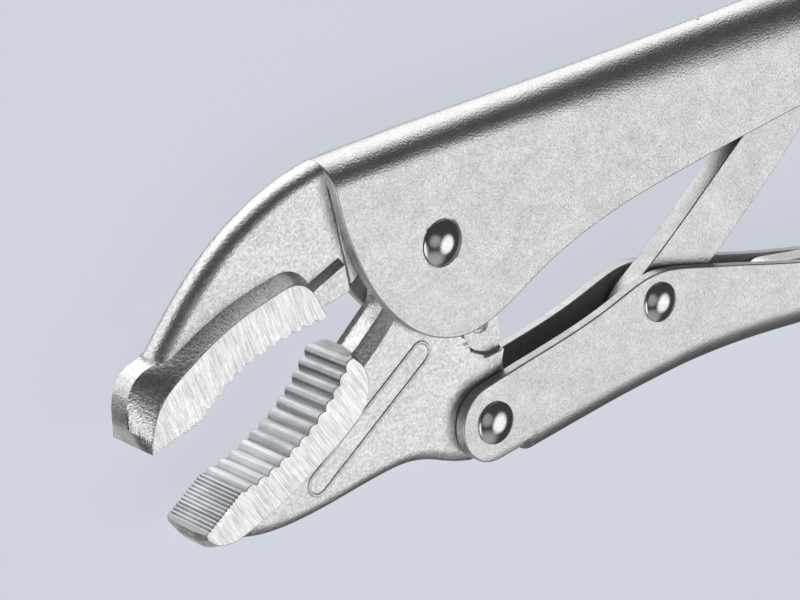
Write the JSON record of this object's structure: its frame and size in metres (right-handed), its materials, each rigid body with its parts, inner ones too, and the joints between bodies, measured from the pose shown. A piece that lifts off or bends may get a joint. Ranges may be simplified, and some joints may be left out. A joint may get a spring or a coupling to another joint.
{
  "type": "locking pliers",
  "caption": "Locking pliers with round toothed jaws, folded channel handles, over-centre toggle link, release lever, return spring and knurled adjusting screw.",
  "frame": {"origin": "bottom centre of the object's box, with the tool lying on its side", "axes": "+X along the tool from the jaws to the adjusting screw, +Y across the handles towards the fixed handle, +Z through the thickness"},
  "size_m": [0.2504, 0.0942, 0.0152],
  "materials": {
    "plated_sheet": "satin nickel plate over pressed sheet",
    "plated_forging": "satin nickel plate over a grained forging, toothed faces ground",
    "plated_link": "satin nickel plate over a stamped bar",
    "plated_screw": "bright zinc plate",
    "spring_wire": "drawn spring wire",
    "polished_rivet": "polished domed rivet heads"
  },
  "bodies": {
    "fixed_handle": {"fixed_handle": "plated_sheet", "upper_jaw": "plated_forging", "screw_bush": "plated_screw", "pivot_rivet": "polished_rivet", "tension_spring": "spring_wire"},
    "lower_jaw": {"lower_jaw": "plated_forging"},
    "lower_handle": {"lower_handle": "plated_sheet", "jaw_rivet": "polished_rivet", "link_rivet": "polished_rivet", "lever_pin": "polished_rivet"},
    "toggle_link": {"toggle_link": "plated_link"},
    "release_lever": {"release_lever": "plated_sheet"},
    "screw_spindle": {"screw_spindle": "plated_screw"},
    "screw_knob": {"screw_knob": "plated_screw"}
  },
  "joints": [
    {"name": "jaw_pivot", "type": "hinge", "parent": "fixed_handle", "child": "lower_jaw", "pos_m": [-0.05953, 0.02471, 0.0076], "axis": [0, 0, 1], "range_deg": [-9, 15], "deforming": ["tension_spring"]},
    {"name": "handle_pivot", "type": "hinge", "parent": "lower_jaw", "child": "lower_handle", "pos_m": [-0.05611, -0.01202, 0.0076], "axis": [0, 0, 1], "range_deg": [-37.3, 22.4]},
    {"name": "link_pivot", "type": "hinge", "parent": "lower_handle", "child": "toggle_link", "pos_m": [-0.01473, -0.00705, 0.0076], "axis": [0, 0, 1], "range_deg": [-21.9, 36.4]},
    {"name": "lever_pivot", "type": "hinge", "parent": "lower_handle", "child": "release_lever", "pos_m": [0.03847, -0.0261, 0.0076], "axis": [0, 0, -1], "range_deg": [0, 5]},
    {"name": "screw_advance", "type": "slide", "parent": "fixed_handle", "child": "screw_spindle", "axis": [0.9981, -0.061, 0], "range_m": [0, 0.018]},
    {"name": "screw_turn", "type": "hinge", "parent": "screw_spindle", "child": "screw_knob", "pos_m": [0.11349, 0.02322, 0.0076], "axis": [0.9981, -0.061, 0], "range_deg": [0, 5193]}
  ],
  "couplings": [
    {"joint": "handle_pivot", "follows": "jaw_pivot", "ratio": -2.48},
    {"joint": "link_pivot", "follows": "jaw_pivot", "ratio": 2.42},
    {"joint": "screw_turn", "follows": "screw_advance", "rad_per_m": 5026.5}
  ]
}
